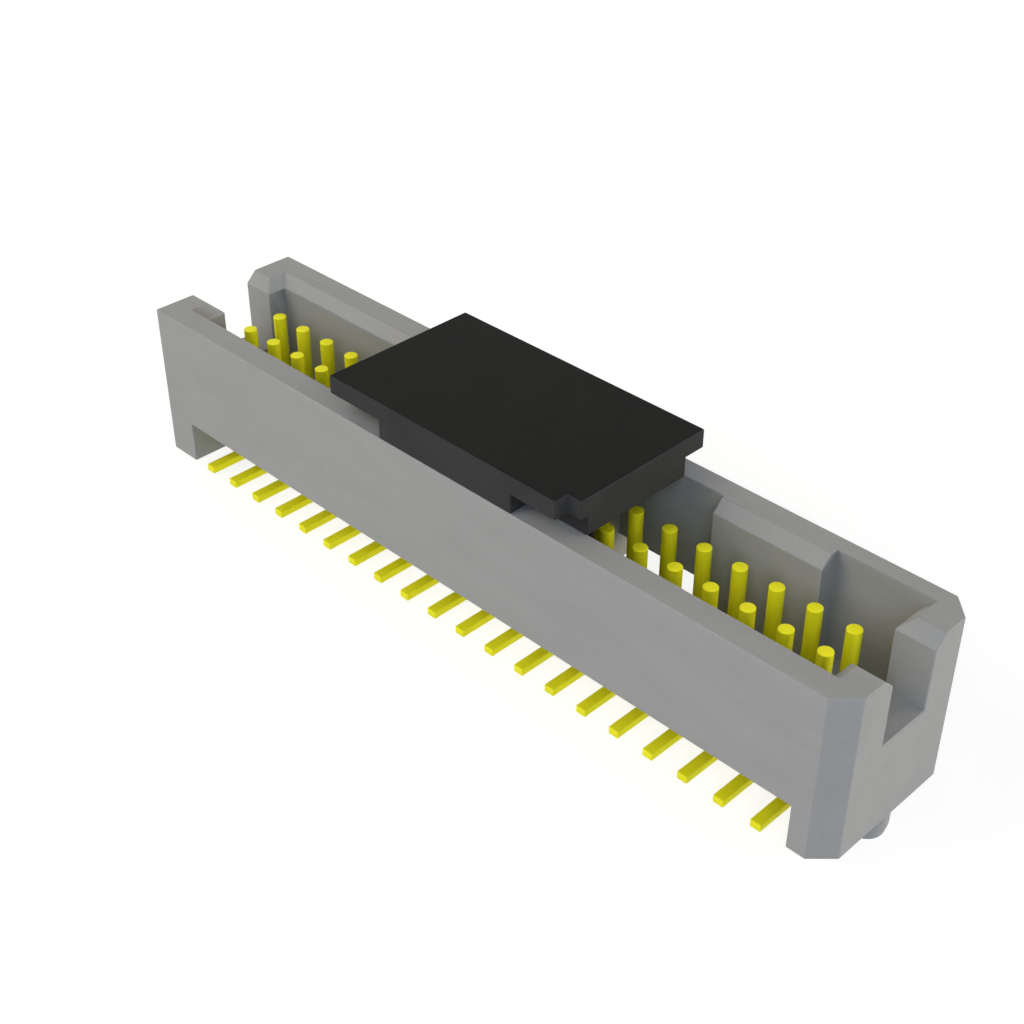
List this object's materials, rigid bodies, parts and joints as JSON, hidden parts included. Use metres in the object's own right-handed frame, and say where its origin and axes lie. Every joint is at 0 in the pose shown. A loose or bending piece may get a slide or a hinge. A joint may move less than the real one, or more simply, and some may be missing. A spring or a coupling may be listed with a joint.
{
  "type": "board-to-board header",
  "caption": "Shrouded surface-mount board-to-board header with round posts in rows, slotted end walls, locating pegs and a pick-and-place pad.",
  "frame": {"origin": "on the circuit board's surface, midway between the two locating pegs", "axes": "+X along the rows towards the end with the two cut corners, +Y towards the wall with the key recess, +Z away from the board"},
  "size_m": [0.0286, 0.0058, 0.0077],
  "materials": {
    "housing_plastic": "grey moulded high-temperature plastic, fine matt",
    "contact_metal": "gold-plated copper alloy, smooth",
    "pad_plastic": "black moulded plastic, fine matt"
  },
  "bodies": {
    "root": {"housing": "housing_plastic", "contact_front_01": "contact_metal", "contact_front_02": "contact_metal", "contact_front_03": "contact_metal", "contact_front_04": "contact_metal", "contact_front_05": "contact_metal", "contact_front_06": "contact_metal", "contact_front_07": "contact_metal", "contact_front_08": "contact_metal", "contact_front_09": "contact_metal", "contact_front_10": "contact_metal", "contact_front_11": "contact_metal", "contact_front_12": "contact_metal", "contact_front_13": "contact_metal", "contact_front_14": "contact_metal", "contact_front_15": "contact_metal", "contact_front_16": "contact_metal", "contact_front_17": "contact_metal", "contact_front_18": "contact_metal", "contact_front_19": "contact_metal", "contact_front_20": "contact_metal", "contact_back_01": "contact_metal", "contact_back_02": "contact_metal", "contact_back_03": "contact_metal", "contact_back_04": "contact_metal", "contact_back_05": "contact_metal", "contact_back_06": "contact_metal", "contact_back_07": "contact_metal", "contact_back_08": "contact_metal", "contact_back_09": "contact_metal", "contact_back_10": "contact_metal", "contact_back_11": "contact_metal", "contact_back_12": "contact_metal", "contact_back_13": "contact_metal", "contact_back_14": "contact_metal", "contact_back_15": "contact_metal", "contact_back_16": "contact_metal", "contact_back_17": "contact_metal", "contact_back_18": "contact_metal", "contact_back_19": "contact_metal", "contact_back_20": "contact_metal", "pick_and_place_pad": "pad_plastic"}
  },
  "joints": []
}
